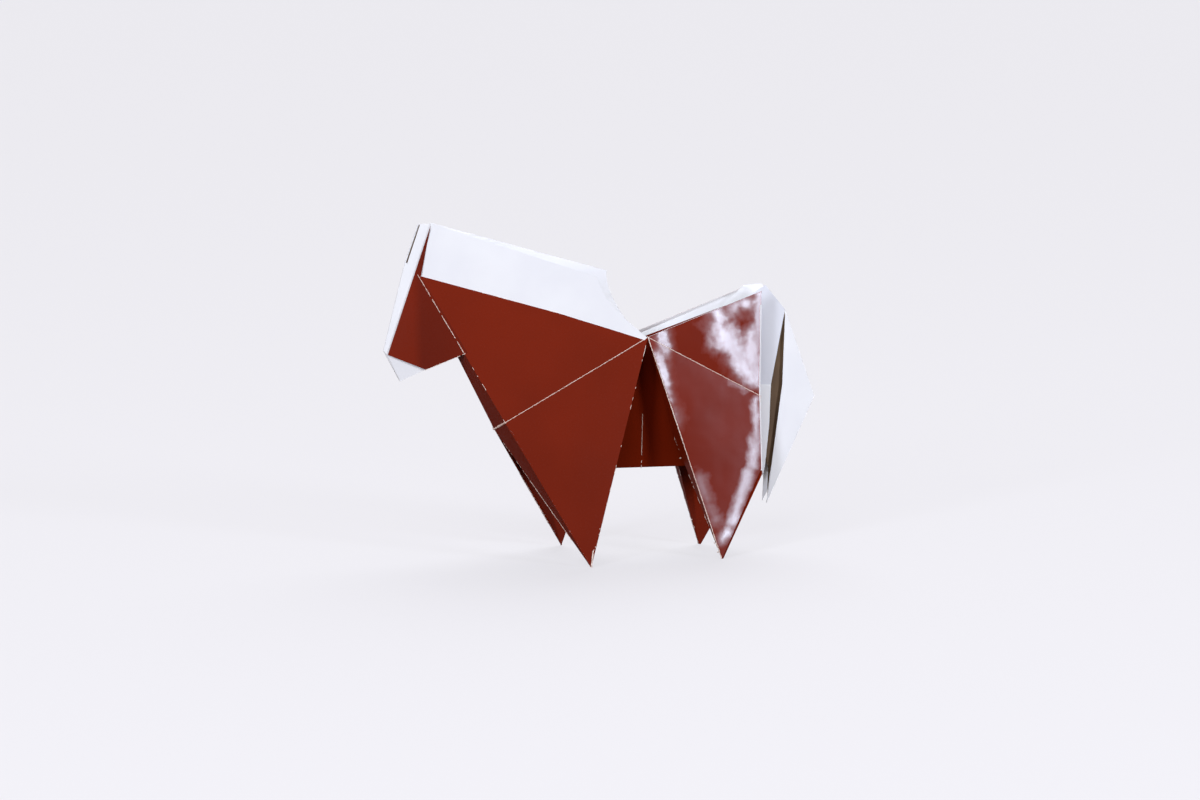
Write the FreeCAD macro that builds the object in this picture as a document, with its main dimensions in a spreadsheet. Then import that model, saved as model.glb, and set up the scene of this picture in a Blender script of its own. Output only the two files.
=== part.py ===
import FreeCAD, Part
import math
import os
from FreeCAD import Vector

# Origami horse: one square of coated paper, folded flat and then opened a little so that it stands.
# X runs from the nose (-X) to the tail (+X), Y from the near side (-Y) to the far side (+Y), Z up.
# The four foot tips stand on Z = 0. The fold points are worked out on the near side, where a
# half-width is how far a point lies from the middle plane Y = 0.

os.makedirs("parts", exist_ok=True)
doc = FreeCAD.newDocument("origami_horse")

# ---------------------------------------------------------------- driving sizes
SIZES = [
    ("sheet", 0.15, "thickness of the paper"),
    ("layers", 2, "layers of paper in a leg flap"),
    ("flap", 53.4, "short side of a leg flap, a right isosceles triangle"),
    ("rear_bow", 0.45, "how much the bow of a rear flap shortens its leg"),
    ("front_stride", 15.2, "how far the front feet stand in front of the middle of the back"),
    ("back_half", 6.05, "half the width across the middle of the back"),
    ("front_foot_half", 15.7, "half the distance between the front feet"),
    ("rear_foot_half", 10.7, "half the distance between the rear feet"),
    ("foot_wear", 0.3, "how much of each foot tip is worn flat"),
    ("neck_half", 1.15, "half the width of the neck at the front corner of a front flap"),
    ("crease_lift", 0.45, "how far the crease of a front flap stands out at the chest fold"),
    ("throat_share", 0.535, "where the jaw meets the chest fold, from neck corner to crease"),
    ("chest_drop", 2.6, "how far the middle of the chest lies below the ends of the flap creases"),
    ("chest_out", 0.7, "how far the middle of the chest stands in front of them"),
    ("keel_height", 19.8, "height of the belly's bottom fold"),
    ("keel_front", 20.0, "length of the belly fold in front of the middle of the back"),
    ("keel_rear", 21.0, "length of the belly fold behind it"),
    ("mane_height", 11.4, "height of the mane above the neck edge, at its front"),
    ("mane_slope", 1.0, "how much lower the mane is at its rear end than at its front"),
    ("mane_end_near", 11.3, "distance from the middle of the back to the mane's end, near side"),
    ("mane_end_far", 6.9, "the same on the far side"),
    ("mane_rise_far", 0.7, "how much higher the far side of the mane stands at its end"),
    ("mane_tuck", 2.2, "depth of the mane that is tucked behind the red flap"),
    ("mane_inset", 0.2, "how far the mane lies behind the edge of the flap"),
    ("mane_end_hollow", 1.5, "depth of the hollow curve down the mane's rear end"),
    ("head_length", 30.4, "length of the cheek along the forehead, poll to nose"),
    ("forehead_lean", 18.9, "lean of the forehead from the vertical, in degrees"),
    ("poll_height", 11.2, "height of the poll above the neck corner"),
    ("poll_back", 3.0, "how far the poll lies behind the neck corner"),
    ("muzzle_half", 0.8, "half the width across the nose"),
    ("muzzle_depth", 8.75, "length of the cheek's lower edge, nose to chin"),
    ("muzzle_slope", 21.8, "slope of that edge below the horizontal, in degrees"),
    ("blaze_top", 1.7, "width of the white strip at the poll"),
    ("blaze_nose", 0.85, "width of the white strip at the nose"),
    ("nose_tip", 6.6, "distance from the nose to the white tip below the cheek"),
    ("nose_tip_slope", 65.0, "slope of that line below the horizontal, in degrees"),
    ("slit_length", 9.4, "length of the open slit down the white strip"),
    ("rump_length", 26.2, "distance from the middle of the back to the rump fold"),
    ("rump_rise", 9.8, "how much higher the rump stands than the middle of the back"),
    ("rump_half", 6.1, "half the width across the top of the rump"),
    ("rump_crease_drop", 14.0, "how far the rump crease falls from the back to the rump fold"),
    ("rump_crease_half", 5.5, "half the width across the rump folds at the crease"),
    ("layer_slip", 0.9, "how far the inner layer of a rear flap hangs below the outer one"),
    ("shin_top", 27.4, "height at which the front edge of a rear leg meets the belly"),
    ("shin_top_back", 6.9, "distance back to that point"),
    ("tail_root", 20.0, "distance from the middle of the back to the root of the tail"),
    ("tail_half", 3.0, "half the width across the root of the tail"),
    ("root_drop", 0.8, "how far the root of the tail lies below the top edge of the rump"),
    ("tail_top", 28.2, "distance from the middle of the back to the top of the tail"),
    ("tail_lift", 10.7, "height of the top of the tail above the back"),
    ("tail_shoulder", 33.1, "distance back to the tail's upper corner"),
    ("tail_shoulder_rise", 4.9, "height of that corner above the back"),
    ("tail_reach", 40.3, "distance back to the tail's hindmost corner"),
    ("tail_reach_drop", 15.1, "how far that corner lies below the back"),
    ("tail_tip", 28.7, "distance back to the hanging tip of the tail"),
    ("tail_tip_height", 10.9, "height of the hanging tip"),
    ("tail_tip_width", 0.8, "width of the blunt hanging tip"),
    ("tail_front", 27.5, "distance back to the lower front corner of the tail"),
    ("tail_front_drop", 1.4, "how far that corner lies below the belly fold"),
    ("tail_root_low", 4.0, "height of the lower end of the tail's root above the belly fold"),
    ("slit_front", 30.8, "distance back to the front edge of the tail's slit, at its widest"),
    ("slit_width", 2.1, "width of the slit there"),
    ("slit_end_rise", 5.5, "height above the tip at which the part in front of the slit ends"),
    ("tuck_height", 38.0, "height of the fold across the near side of the tail"),
    ("tuck_front", 24.0, "distance back to the front edge of the part that is folded over"),
    ("tuck_hind", 29.0, "distance back to its hind edge at the height of the belly fold"),
    ("tuck_end", 28.4, "distance back to its lowest point"),
    ("tuck_end_drop", 3.0, "how far that point lies below the belly fold"),
]

sheet_table = doc.addObject("Spreadsheet::Sheet", "Sizes")
for row, (alias, value, note) in enumerate(SIZES, start=1):
    sheet_table.set("A%d" % row, alias)
    sheet_table.set("B%d" % row, str(value))
    sheet_table.set("C%d" % row, note)
    sheet_table.setAlias("B%d" % row, alias)
doc.recompute()


def size(alias):
    """The number in the cell with this alias."""
    return float(sheet_table.get(alias))


SHEET = size("sheet")
FLAP = SHEET * size("layers")


# ---------------------------------------------------------------- geometry helpers
def near(x, half, z):
    """A point on the near side, from its half-width."""
    return Vector(x, -half, z)


def between(start, end, share):
    """The point at this share of the way from start to end."""
    return start + (end - start) * share


def in_plane(a, b, c, x, z):
    """The point at x, z in the plane of a, b and c."""
    normal = (b - a).cross(c - a)
    y = a.y - (normal.x * (x - a.x) + normal.z * (z - a.z)) / normal.y
    return Vector(x, y, z)


def inward_normal(points, toward):
    """Unit normal of the points' plane, on the side of the point toward."""
    normal = (points[1] - points[0]).cross(points[2] - points[0])
    normal.normalize()
    if normal.dot(toward - points[0]) < 0:
        normal = normal * -1
    return normal


def grown(points, margin):
    """The outline of the points, moved out by margin in its own plane."""
    normal = (points[1] - points[0]).cross(points[2] - points[0])
    normal.normalize()
    result = []
    for index, point in enumerate(points):
        before = points[index - 1]
        after = points[(index + 1) % len(points)]
        side_in = (point - before).normalize().cross(normal)
        side_out = (after - point).normalize().cross(normal)
        bisector = side_in + side_out
        result.append(point + bisector * (2 * margin / bisector.dot(bisector)))
    return result


def plate(points, thickness, toward, margin=0.0):
    """A flat panel of paper: its outer face holds the points, its thickness goes toward a point."""
    outline = grown(points, margin) if margin else points
    face = Part.Face(Part.makePolygon(outline + [outline[0]]))
    return face.extrude(inward_normal(points, toward) * thickness)


def paper(label, shape):
    """A document object that holds one panel or group of panels."""
    feature = doc.addObject("Part::Feature", label)
    feature.Label = label
    feature.Shape = shape
    return feature


def joined(shapes):
    """One shape from several that overlap, added one at a time."""
    result = shapes[0]
    for shape in shapes[1:]:
        result = result.fuse(shape)
    return result


def fused(label, items):
    """A chain of Part::Fuse objects that adds the items one at a time."""
    result = items[0]
    for number, item in enumerate(items[1:], start=1):
        fuse = doc.addObject("Part::Fuse", "%s_%d" % (label, number))
        fuse.Base = result
        fuse.Tool = item
        fuse.Refine = False
        result = fuse
    result.Label = label
    return result


# ---------------------------------------------------------------- fold points
# The floor cuts each foot tip foot_wear above its sharp end. The height of the back and the stride of
# the rear feet follow from the flaps, whose short sides run down from the middle of the back.
ground = -size("foot_wear")
rear_flap_side = size("flap") - size("rear_bow")
front_spread = size("front_foot_half") - size("back_half")
rear_spread = size("rear_foot_half") - size("back_half")
leg_drop = math.sqrt(size("flap") ** 2 - size("front_stride") ** 2 - front_spread ** 2)
rear_stride = math.sqrt(rear_flap_side ** 2 - leg_drop ** 2 - rear_spread ** 2)

back = near(0, size("back_half"), ground + leg_drop)
front_foot = near(-size("front_stride"), size("front_foot_half"), ground)
rear_foot = near(rear_stride, size("rear_foot_half"), ground)


def square_corner(corner, foot_point, side, half):
    """The third point of a right isosceles flap, forward of its right-angled corner."""
    leg = foot_point - corner
    dy = -half - corner.y
    slope = -leg.x / leg.z
    offset = -leg.y * dy / leg.z
    a = 1 + slope ** 2
    b = 2 * slope * offset
    c = offset ** 2 + dy ** 2 - side ** 2
    dx = (-b - math.sqrt(b ** 2 - 4 * a * c)) / (2 * a)
    return corner + Vector(dx, dy, slope * dx + offset)


neck = square_corner(back, front_foot, size("flap"), size("neck_half"))
flat_middle = between(neck, front_foot, 0.5)
breast = flat_middle + Vector(0, -size("crease_lift"), 0)
throat = between(neck, breast, size("throat_share"))
chest = Vector(breast.x - size("chest_out"), 0, breast.z - size("chest_drop"))

keel = Vector(0, 0, size("keel_height"))
keel_front = keel - Vector(size("keel_front"), 0, 0)
keel_rear = keel + Vector(size("keel_rear"), 0, 0)

rump = near(size("rump_length"), size("rump_half"), back.z + size("rump_rise"))
rump_crease = near(size("rump_length"), size("rump_crease_half"), back.z - size("rump_crease_drop"))
# The tucked rear flap is half a square too: its long side runs from the foot to the crease's far end.
crease_run = (rump_crease - back).normalize() * (rear_flap_side / math.sqrt(2))
long_side_middle = back + crease_run
hock_share = (size("rump_length") - rear_foot.x) / (long_side_middle.x - rear_foot.x)
hock = between(rear_foot, long_side_middle, hock_share)

MIDDLE = Vector(0, 0, back.z)
INSIDE = Vector(0, 0, keel.z + (back.z - keel.z) / 2)

# ---------------------------------------------------------------- front legs, chest and belly
leg_inner = Vector(0, 0, back.z / 2)
front_flap = joined([
    plate([neck, back, breast], FLAP, leg_inner),
    plate([breast, back, front_foot], FLAP, leg_inner),
])

# The chest crosses from one front flap to the other, below the head.
chest_top_slide = -(throat.y - breast.y) / breast.y
chest_top = chest + (throat - breast) + (breast - chest) * chest_top_slide
MARGIN = 0.08
chest_panel = plate([throat, breast, chest, chest_top], SHEET, INSIDE, MARGIN)
shin_strip = plate([breast, chest, front_foot], SHEET, INSIDE, MARGIN)

# The belly is a keel-shaped trough, red outside and white inside, that hangs between the legs.
belly = joined([
    plate([neck, chest, back], SHEET, MIDDLE + Vector(neck.x / 2, 0, 0), MARGIN),
    plate([chest, keel_front, back], SHEET, MIDDLE, MARGIN),
    plate([keel_front, keel, back], SHEET, MIDDLE, MARGIN),
    plate([keel, keel_rear, back], SHEET, MIDDLE, MARGIN),
    plate([keel_rear, rump, back], SHEET, MIDDLE + Vector(rump.x, 0, 0), MARGIN),
])

# ---------------------------------------------------------------- rear legs and rump
rear_flap = joined([
    plate([back, rump, rump_crease], FLAP, leg_inner, MARGIN),
    plate([back, rump_crease, hock, rear_foot], FLAP, leg_inner),
])
# The inner layer has slipped down a little, and shows along the hind edge of the leg.
slipped_hock = in_plane(back, rear_foot, hock, hock.x, hock.z - size("layer_slip"))
slipped_foot = in_plane(back, rear_foot, hock, rear_foot.x + size("layer_slip") / 2, rear_foot.z)
behind = inward_normal([back, rear_foot, hock], leg_inner) * SHEET
slip_outline = [point + behind for point in (back, rump_crease, slipped_hock, slipped_foot, rear_foot)]
slipped_layer = plate(slip_outline, SHEET, leg_inner)

belly_half = size("back_half") * (size("shin_top") - keel.z) / (back.z - keel.z)
shin_inner = near(size("shin_top_back"), belly_half - SHEET / 2, size("shin_top"))
rear_strip = plate([back, rear_foot, shin_inner], SHEET, rump)

# The rump folds turn the flap inwards, to the root of the tail.
root = size("tail_root")
root_half = size("tail_half") - SHEET
root_top_z = back.z + size("rump_rise") * root / rump.x - size("root_drop")
root_top = near(root, root_half, root_top_z)
root_crease = in_plane(rump, rump_crease, root_top, root, rump_crease.z)
root_low = in_plane(rump_crease, hock, root_crease, root, keel.z + SHEET)
rump_return = joined([
    plate([rump, rump_crease, root_crease, root_top], SHEET, MIDDLE, MARGIN / 2),
    plate([rump_crease, hock, root_low, root_crease], SHEET, MIDDLE, MARGIN / 2),
])

# ---------------------------------------------------------------- head
# The head is the neck corner, reversed between the front flaps: two cheeks that meet at the forehead.
lean = math.radians(size("forehead_lean"))
poll_x = neck.x + size("poll_back")
poll_z = neck.z + size("poll_height")
down_face = Vector(-math.sin(lean), 0, -math.cos(lean))
nose_x = poll_x + down_face.x * size("head_length")
nose_z = poll_z + down_face.z * size("head_length")
muzzle = math.radians(size("muzzle_slope"))
seat = SHEET / 2
cheek_a = neck + Vector(0, seat, 0)
cheek_b = throat + Vector(0, seat, 0)
cheek_c = near(nose_x, size("muzzle_half"), nose_z)


def on_cheek(x, z, inset=0.0):
    """A point of the near cheek, or of a layer that lies inset behind it."""
    return in_plane(cheek_a, cheek_b, cheek_c, x, z) + Vector(0, inset, 0)


chin_x = nose_x + math.cos(muzzle) * size("muzzle_depth")
chin_z = nose_z - math.sin(muzzle) * size("muzzle_depth")
overlap = FLAP * 2
cheek_outline = [
    on_cheek(poll_x, poll_z),
    on_cheek(nose_x, nose_z),
    on_cheek(chin_x, chin_z),
    on_cheek(throat.x + overlap, throat.z + overlap / 2),
    on_cheek(neck.x + overlap, neck.z - overlap / 2),
]
cheek = plate(cheek_outline, SHEET, MIDDLE)

# The white layer inside shows as a strip down the forehead and as the blunt nose.
blaze_poll = Vector(poll_x - size("blaze_top"), 0, poll_z + SHEET)
blaze_nose = Vector(nose_x - size("blaze_nose"), 0, nose_z + size("blaze_nose"))
tip_slope = math.radians(size("nose_tip_slope"))
tip_x = nose_x + math.cos(tip_slope) * size("nose_tip")
tip_z = nose_z - math.sin(tip_slope) * size("nose_tip")
liner_outline = [
    on_cheek(poll_x, poll_z, SHEET),
    on_cheek(blaze_poll.x, blaze_poll.z, SHEET),
    on_cheek(blaze_nose.x, blaze_nose.z, SHEET),
    on_cheek(tip_x, tip_z, SHEET),
    on_cheek(chin_x, chin_z, SHEET),
    on_cheek(neck.x + SHEET, neck.z - size("poll_height") / 2, SHEET),
]
liner = plate(liner_outline, SHEET, MIDDLE)

# Below the slit the two white layers are one fold.
bridge_start = blaze_poll + (blaze_nose - blaze_poll).normalize() * size("slit_length")
bridge_width = Vector(size("blaze_nose"), 0, 0)
bridge_half = size("muzzle_half") - MARGIN
bridge_face = Part.Face(Part.makePolygon([
    bridge_start,
    blaze_nose,
    blaze_nose + bridge_width,
    bridge_start + bridge_width,
    bridge_start,
]))
bridge_face.translate(Vector(0, -bridge_half, 0))
forehead = bridge_face.extrude(Vector(0, 2 * bridge_half, 0))


# ---------------------------------------------------------------- mane
def mane(side, end, rise):
    """One side of the mane: a white panel that stands up from behind the red flap."""
    def stand(x, z):
        along = (x - neck.x) / (back.x - neck.x)
        half = -(neck.y + (back.y - neck.y) * along) - size("mane_inset")
        return Vector(x, side * half, z)

    edge_slope = (back.z - neck.z) / (back.x - neck.x)
    tuck = size("mane_tuck")
    top_front = stand(poll_x - SHEET, neck.z + size("mane_height"))
    edge_at_end = back.z - edge_slope * end
    top_end = stand(-end, edge_at_end + size("mane_height") - size("mane_slope") + rise)
    foot_front = stand(neck.x + SHEET * 2, neck.z)
    foot_low = stand(neck.x + tuck, neck.z - tuck)
    end_low = stand(-tuck, back.z - tuck)
    end_point = stand(-SHEET, back.z)
    chord = Vector(end_point.x - top_end.x, 0, end_point.z - top_end.z).normalize()
    middle = between(top_end, end_point, 0.5) + Vector(chord.z, 0, -chord.x) * size("mane_end_hollow")
    hollow = stand(middle.x, middle.z)
    edges = [
        Part.makeLine(foot_low, foot_front),
        Part.makeLine(foot_front, top_front),
        Part.makeLine(top_front, top_end),
        Part.Arc(top_end, hollow, end_point).toShape(),
        Part.makeLine(end_point, end_low),
        Part.makeLine(end_low, foot_low),
    ]
    face = Part.Face(Part.Wire(edges))
    run = (end_point - top_front)
    inward = Vector(-run.y, run.x, 0).normalize()
    if inward.y * side > 0:
        inward = inward * -1
    return face.extrude(inward * SHEET)


# ---------------------------------------------------------------- tail
# The tail is a white kite, folded in two: its sides meet at the hind edge, and the raw edges of the
# near side leave a slit that narrows towards the shoulder and the tip.
reach = size("tail_reach")


def tail_point(side, x, z, proud=0.0):
    """A point on one side of the tail, which narrows from its root to its hind corner."""
    half = size("tail_half") * (reach - x) / (reach - root) + SHEET
    return Vector(x, side * (half + proud), z)


shoulder = Vector(size("tail_shoulder"), 0, back.z + size("tail_shoulder_rise"))
tip = Vector(size("tail_tip"), 0, size("tail_tip_height"))
tail_front_z = keel.z - size("tail_front_drop")
tail_outline = [
    (root, root_top_z),
    (size("tail_top"), back.z + size("tail_lift")),
    (shoulder.x, shoulder.z),
    (reach, back.z - size("tail_reach_drop")),
    (tip.x, tip.z),
    (tip.x - size("tail_tip_width"), tip.z + size("tail_tip_width")),
    (size("tail_front"), tail_front_z),
    (root, keel.z + size("tail_root_low")),
]


def tail_side(side):
    """One side of the tail, to its hind edge."""
    points = [tail_point(side, x, z) for x, z in tail_outline]
    return plate(points, SHEET, Vector(root, 0, back.z))


slit_middle = Vector(size("slit_front"), 0, size("tuck_height"))
slit_end = Vector(size("tail_front"), 0, tip.z + size("slit_end_rise"))
slit_outline = [
    shoulder - Vector(SHEET, 0, SHEET * 4),
    slit_middle,
    slit_end,
    Vector(slit_end.x - size("tail_tip_width"), 0, tip.z - size("tail_tip_width")),
    tip + Vector(0, 0, SHEET * 2),
    slit_middle + Vector(size("slit_width"), 0, 0),
]
slit_face = Part.Face(Part.makePolygon(slit_outline + [slit_outline[0]]))
slit_cutter = slit_face.extrude(Vector(0, -size("tail_half") * 2, 0))
near_tail = tail_side(-1).cut(slit_cutter)

# Below a fold across the near side, the part in front of the slit is folded over and lies double.
tuck_outline = [
    (size("tuck_front"), slit_middle.z),
    (slit_middle.x, slit_middle.z),
    (size("tuck_hind"), keel.z),
    (size("tuck_end"), keel.z - size("tuck_end_drop")),
    (size("tail_front"), tail_front_z),
    (size("tuck_front"), keel.z),
]
tuck_points = [tail_point(-1, x, z, SHEET) for x, z in tuck_outline]
tail_tuck = plate(tuck_points, SHEET, Vector(root, 0, back.z))

# ---------------------------------------------------------------- the sheet, put together
near_half = [
    paper("near_front_flap", front_flap),
    paper("near_chest", chest_panel),
    paper("near_shin", shin_strip),
    paper("near_belly", belly),
    paper("near_rear_flap", rear_flap),
    paper("near_slipped_layer", slipped_layer),
    paper("near_rear_strip", rear_strip),
    paper("near_rump_return", rump_return),
    paper("near_cheek", cheek),
    paper("near_nose_layer", liner),
]
side_fold = fused("near_side", near_half)
mirror_fold = doc.addObject("Part::Mirroring", "far_side")
mirror_fold.Source = side_fold
mirror_fold.Normal = Vector(0, 1, 0)

middle_parts = [
    paper("forehead_fold", forehead),
    paper("near_mane", mane(-1, size("mane_end_near"), 0.0)),
    paper("far_mane", mane(1, size("mane_end_far"), size("mane_rise_far"))),
    paper("near_tail_side", near_tail),
    paper("near_tail_tuck", tail_tuck),
    paper("far_tail_side", tail_side(1)),
]
folded = fused("folded_sheet", [side_fold, mirror_fold] + middle_parts)

# The floor: what lies below it is worn off the foot tips.
floor = doc.addObject("Part::Box", "floor")
floor.setExpression("Length", "4 * Sizes.flap")
floor.setExpression("Width", "4 * Sizes.front_foot_half")
floor.setExpression("Height", "10 * Sizes.foot_wear")
floor.setExpression("Placement.Base.x", "-2 * Sizes.flap")
floor.setExpression("Placement.Base.y", "-2 * Sizes.front_foot_half")
floor.setExpression("Placement.Base.z", "-10 * Sizes.foot_wear")

horse = doc.addObject("Part::Cut", "folded_horse")
horse.Label = "folded_horse"
horse.Base = folded
horse.Tool = floor
horse.Refine = False
doc.recompute()

# The origin is under the middle of the horse's length.
box = horse.Shape.BoundBox
horse.Placement = FreeCAD.Placement(Vector(-box.Center.x, 0, 0), FreeCAD.Rotation())
doc.recompute()

# ---------------------------------------------------------------- checks and export
for item in doc.Objects:
    if "Invalid" in item.State or "Error" in item.State:
        raise RuntimeError("%s did not build: %s" % (item.Label, item.State))
for item in near_half + middle_parts + [horse]:
    if item.Shape.isNull() or not item.Shape.isValid():
        raise RuntimeError("%s has no valid shape" % item.Label)
if len(horse.Shape.Solids) != 1:
    raise RuntimeError("the sheet came apart: %d solids" % len(horse.Shape.Solids))

horse.Shape.exportStep("parts/folded_horse.step")
box = horse.Shape.BoundBox
centre = horse.Shape.Solids[0].CenterOfMass
print("folded_horse: %.1f x %.1f x %.1f mm" % (box.XLength, box.YLength, box.ZLength))
print("volume %.1f mm3, centre of mass %.2f %.2f %.2f" % (horse.Shape.Volume, *centre))
feet = (front_foot.x + horse.Placement.Base.x, rear_foot.x + horse.Placement.Base.x)
print("feet at x %.2f and %.2f" % feet)
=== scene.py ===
# %% [markdown]
# # An origami horse in coated paper
#
# The real object is one square of craft paper, folded flat and then opened until it stands. One
# face of the paper is printed and coated a glossy brick red, the other is left white. What makes
# it look real is small: panels that are almost flat but not quite, a coating that has cracked
# white along every fold, and raw edges that show the paper inside.
#
# The CAD model gives every fold its place. This script reads the fold points from it and builds
# the sheet around them as a fine mesh, so the paper can bow between folds that stay where they
# are.

import math

import bmesh
import bpy
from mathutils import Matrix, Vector, noise
from mathutils.geometry import delaunay_2d_cdt, intersect_point_line


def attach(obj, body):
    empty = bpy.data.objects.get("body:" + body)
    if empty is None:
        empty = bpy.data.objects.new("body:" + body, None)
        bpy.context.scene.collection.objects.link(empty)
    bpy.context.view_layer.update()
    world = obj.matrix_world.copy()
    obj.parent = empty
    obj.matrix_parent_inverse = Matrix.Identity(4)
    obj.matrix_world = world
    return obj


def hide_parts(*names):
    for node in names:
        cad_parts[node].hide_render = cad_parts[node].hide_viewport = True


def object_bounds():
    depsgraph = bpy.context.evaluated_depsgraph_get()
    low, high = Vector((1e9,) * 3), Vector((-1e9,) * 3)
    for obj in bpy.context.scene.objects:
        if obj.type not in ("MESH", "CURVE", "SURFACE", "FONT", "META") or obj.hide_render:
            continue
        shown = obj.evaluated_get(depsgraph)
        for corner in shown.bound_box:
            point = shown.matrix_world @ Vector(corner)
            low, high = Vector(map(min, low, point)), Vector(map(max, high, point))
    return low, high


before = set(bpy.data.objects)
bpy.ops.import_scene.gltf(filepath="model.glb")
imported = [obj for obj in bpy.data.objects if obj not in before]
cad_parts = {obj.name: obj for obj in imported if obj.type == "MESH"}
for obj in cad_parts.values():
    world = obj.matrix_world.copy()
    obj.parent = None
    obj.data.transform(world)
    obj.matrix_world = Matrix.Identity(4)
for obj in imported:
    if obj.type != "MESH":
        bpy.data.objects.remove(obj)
cad_low, cad_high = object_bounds()
NODE = "folded_horse"
MM = 0.001
print("CAD box, mm:", [round(c / MM, 2) for c in (*cad_low, *cad_high)])

# %% [markdown]
# ## The camera
#
# The horse is seen from its near side, turned a little towards its head and from slightly above.
# A long lens keeps the four legs nearly parallel, as they look from about a metre away. The
# camera is set first, because everything after it is judged through it.

# %% Camera
CAMERA_TURN = math.radians(12.87)
CAMERA_RISE = math.radians(7.4)
CAMERA_DISTANCE = 0.9216
VIEW_WIDTH = 0.2695
SENSOR_WIDTH = 36.0
AIM_HEIGHT = 0.466

aim = Vector((-0.33 * MM, 0, cad_low.z + AIM_HEIGHT * (cad_high.z - cad_low.z)))
sight = Vector((
    math.sin(CAMERA_TURN) * math.cos(CAMERA_RISE),
    math.cos(CAMERA_TURN) * math.cos(CAMERA_RISE),
    -math.sin(CAMERA_RISE),
))
camera = bpy.data.objects.new("camera", bpy.data.cameras.new("camera"))
camera.location = aim - sight * CAMERA_DISTANCE
camera.rotation_euler = sight.to_track_quat("-Z", "Y").to_euler()
camera.data.sensor_width = SENSOR_WIDTH
camera.data.lens = SENSOR_WIDTH * CAMERA_DISTANCE / VIEW_WIDTH
camera.data.clip_end = 20
bpy.context.scene.collection.objects.link(camera)
bpy.context.scene.camera = camera
print("lens %.1f mm" % camera.data.lens)

# %% [markdown]
# ## Fold points
#
# An origami model is known by the points where its folds meet. Each is given by name as the
# distance along the horse, the half-width from the middle plane and the height, in millimetres.
# The CAD mesh has a corner at nearly all of them, so each is moved onto the nearest corner: the
# numbers only say which corner is meant. Both sides of the horse are folded alike, so one list
# serves for both.

# %% Fold points read from the CAD mesh
SNAP_REACH = 0.5 * MM
cad_corners = [v.co.copy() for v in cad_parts[NODE].data.vertices]

NOMINAL = {
    "neck": (-41.88, 1.15, 64.50),
    "back": (9.27, 6.05, 49.97),
    "front_foot": (-5.93, 15.70, -0.30),
    "breast": (-23.91, 8.88, 32.10),
    "throat": (-32.27, 5.28, 47.16),
    "chest": (-24.61, 0.00, 29.50),
    "chest_top": (-32.68, 0.00, 45.62),
    "keel_front": (-10.73, 0.00, 19.80),
    "keel": (9.27, 0.00, 19.80),
    "keel_rear": (30.27, 0.00, 19.80),
    "rump": (35.47, 6.10, 59.77),
    "rump_crease": (35.47, 5.50, 35.97),
    "hock": (35.47, 7.49, 19.29),
    "rear_foot": (25.23, 10.70, -0.30),
    "shin_inner": (16.13, 1.45, 27.40),
    "return_top": (29.27, 2.78, 54.00),
    "root_crease": (29.27, 2.33, 35.97),
    "root_low": (29.27, 4.24, 19.95),
    "poll": (-38.88, 0.88, 75.70),
    "nose": (-48.73, 0.80, 46.94),
    "chin": (-40.61, 3.27, 43.69),
    "jaw": (-31.67, 5.34, 47.46),
    "nape": (-41.28, 1.26, 64.20),
    "blaze_poll": (-40.58, 0.26, 75.85),
    "blaze_slit": (-43.45, 0.29, 66.90),
    "blaze_nose": (-49.58, 0.35, 47.79),
    "nose_tip": (-45.94, 1.93, 40.96),
    "mane_low": (-39.68, 1.16, 62.30),
    "mane_front": (-41.58, 0.98, 64.50),
    "mane_top": (-39.03, 1.22, 75.90),
    "mane_end_low": (7.07, 5.64, 47.77),
    "mane_end": (9.12, 5.84, 49.97),
}


def snapped(place):
    """The nearest CAD corner on the near side, or the place itself where none is near."""
    x, half, z = place
    point = Vector((x, -half, z)) * MM
    corner = min(cad_corners, key=lambda c: (c - point).length_squared)
    return corner if (corner - point).length < SNAP_REACH else point


FOLDS = {name: snapped(place) for name, place in NOMINAL.items()}


def fold(name, side=-1):
    """A fold point on the near side (-1) or the far side (1)."""
    point = FOLDS[name]
    return Vector((point.x, side * abs(point.y), point.z))


print(len(FOLDS), "fold points")

# %% [markdown]
# ## Paper between the folds
#
# A panel between folds is nearly flat, so one polygon would do for its outline but not for its
# looks: paper springs back from a fold and stays a little puffed, and handling leaves shallow
# dents. So each panel is filled with a fine triangle mesh by a constrained Delaunay
# triangulation, which keeps the outline exact and the triangles even. Its inner points are then
# pushed out of the plane. The push is nothing at the outline, so neighbouring panels still meet
# along their fold.

# %% Panels
STEP = 1.25 * MM
ROW_SHARE = 0.866
EDGE_CLEARANCE = 0.55 * STEP
DENT_SPACING = 9 * MM


def panel_axes(points, inside):
    """Origin and two axes in the panel's plane, and its normal, which points away from inside."""
    origin = points[0]
    normal = Vector((0, 0, 0))
    for index in range(1, len(points) - 1):
        normal += (points[index] - origin).cross(points[index + 1] - origin)
    normal.normalize()
    middle = sum(points, Vector((0, 0, 0))) / len(points)
    if normal.dot(middle - inside) < 0:
        normal.negate()
    along = (points[1] - origin).normalized()
    return origin, along, normal.cross(along), normal


def outline_points(flat):
    """The outline with points a step apart; a shared edge gets the same points from either side."""
    result = []
    for index, start in enumerate(flat):
        end = flat[(index + 1) % len(flat)]
        count = max(1, round((end - start).length / STEP))
        result += [start.lerp(end, number / count) for number in range(count)]
    return result


def edge_distances(point, flat):
    """How far a point lies from each side of the outline."""
    result = []
    for index, start in enumerate(flat):
        end = flat[(index + 1) % len(flat)]
        foot, share = intersect_point_line(point, start, end)
        near = start.lerp(end, min(1, max(0, share)))
        result.append((point - near).length)
    return result


def is_inside(point, flat):
    """Whether a point lies inside an outline."""
    odd = False
    for index, start in enumerate(flat):
        end = flat[(index + 1) % len(flat)]
        if (start.y > point.y) != (end.y > point.y):
            crossing = start.x + (end.x - start.x) * (point.y - start.y) / (end.y - start.y)
            odd ^= point.x < crossing
    return odd


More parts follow.
